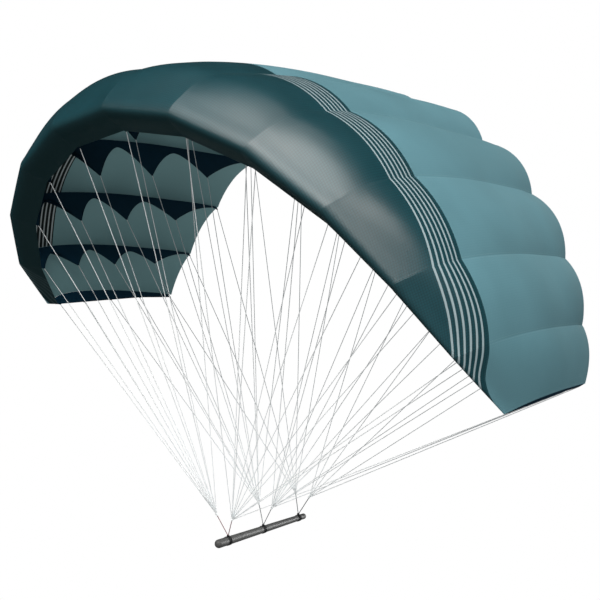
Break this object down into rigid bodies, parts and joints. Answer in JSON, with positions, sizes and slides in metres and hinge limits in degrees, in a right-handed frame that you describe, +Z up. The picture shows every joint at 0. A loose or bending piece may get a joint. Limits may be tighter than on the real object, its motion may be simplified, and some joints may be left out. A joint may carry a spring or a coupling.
{
  "type": "parawing",
  "caption": "Single-skin parawing in flight: an arched ribbed canopy held by fans of taut thin lines above a short round hand bar.",
  "frame": {"origin": "middle of the bar, on its axis", "axes": "+X along the span towards the right tip, -Y towards the leading edge along the bar, +Z up from the bar to the canopy"},
  "size_m": [1.9766, 1.2969, 1.5739],
  "materials": {
    "canopy_cloth": "light teal ripstop cloth, satin",
    "leading_edge_cloth": "dark teal ripstop cloth, satin",
    "rib_cloth": "navy ripstop cloth, matt",
    "bar": "dark grey, smooth",
    "lashing": "black whipped cord",
    "line": "light grey braided line",
    "leader_front": "dull red braided cord",
    "leader_centre": "grey braided cord",
    "leader_rear": "dark grey braided cord"
  },
  "bodies": {
    "root": {"canopy_cell_01": "canopy_cloth", "canopy_cell_02": "canopy_cloth", "canopy_cell_03": "canopy_cloth", "canopy_cell_04": "canopy_cloth", "canopy_cell_05": "canopy_cloth", "canopy_cell_06": "canopy_cloth", "canopy_cell_07": "canopy_cloth", "canopy_cell_08": "canopy_cloth", "canopy_cell_09": "canopy_cloth", "canopy_cell_10": "canopy_cloth", "canopy_cell_11": "canopy_cloth", "leading_edge_01": "leading_edge_cloth", "leading_edge_02": "leading_edge_cloth", "leading_edge_03": "leading_edge_cloth", "leading_edge_04": "leading_edge_cloth", "leading_edge_05": "leading_edge_cloth", "leading_edge_06": "leading_edge_cloth", "leading_edge_07": "leading_edge_cloth", "leading_edge_08": "leading_edge_cloth", "leading_edge_09": "leading_edge_cloth", "leading_edge_10": "leading_edge_cloth", "leading_edge_11": "leading_edge_cloth", "rib_01": "rib_cloth", "rib_02": "rib_cloth", "rib_03": "rib_cloth", "rib_04": "rib_cloth", "rib_05": "rib_cloth", "rib_06": "rib_cloth", "rib_07": "rib_cloth", "rib_08": "rib_cloth", "rib_09": "rib_cloth", "rib_10": "rib_cloth", "rib_11": "rib_cloth", "rib_12": "rib_cloth", "bar": "bar", "wrap_front": "lashing", "wrap_centre": "lashing", "wrap_rear": "lashing", "lines_front_right": "line", "lines_front_left": "line", "lines_centre_right": "line", "lines_centre_left": "line", "lines_rear_right": "line", "lines_rear_left": "line", "leader_front_right": "leader_front", "leader_front_left": "leader_front", "leader_centre_right": "leader_centre", "leader_centre_left": "leader_centre", "leader_rear_right": "leader_rear", "leader_rear_left": "leader_rear"}
  },
  "joints": []
}
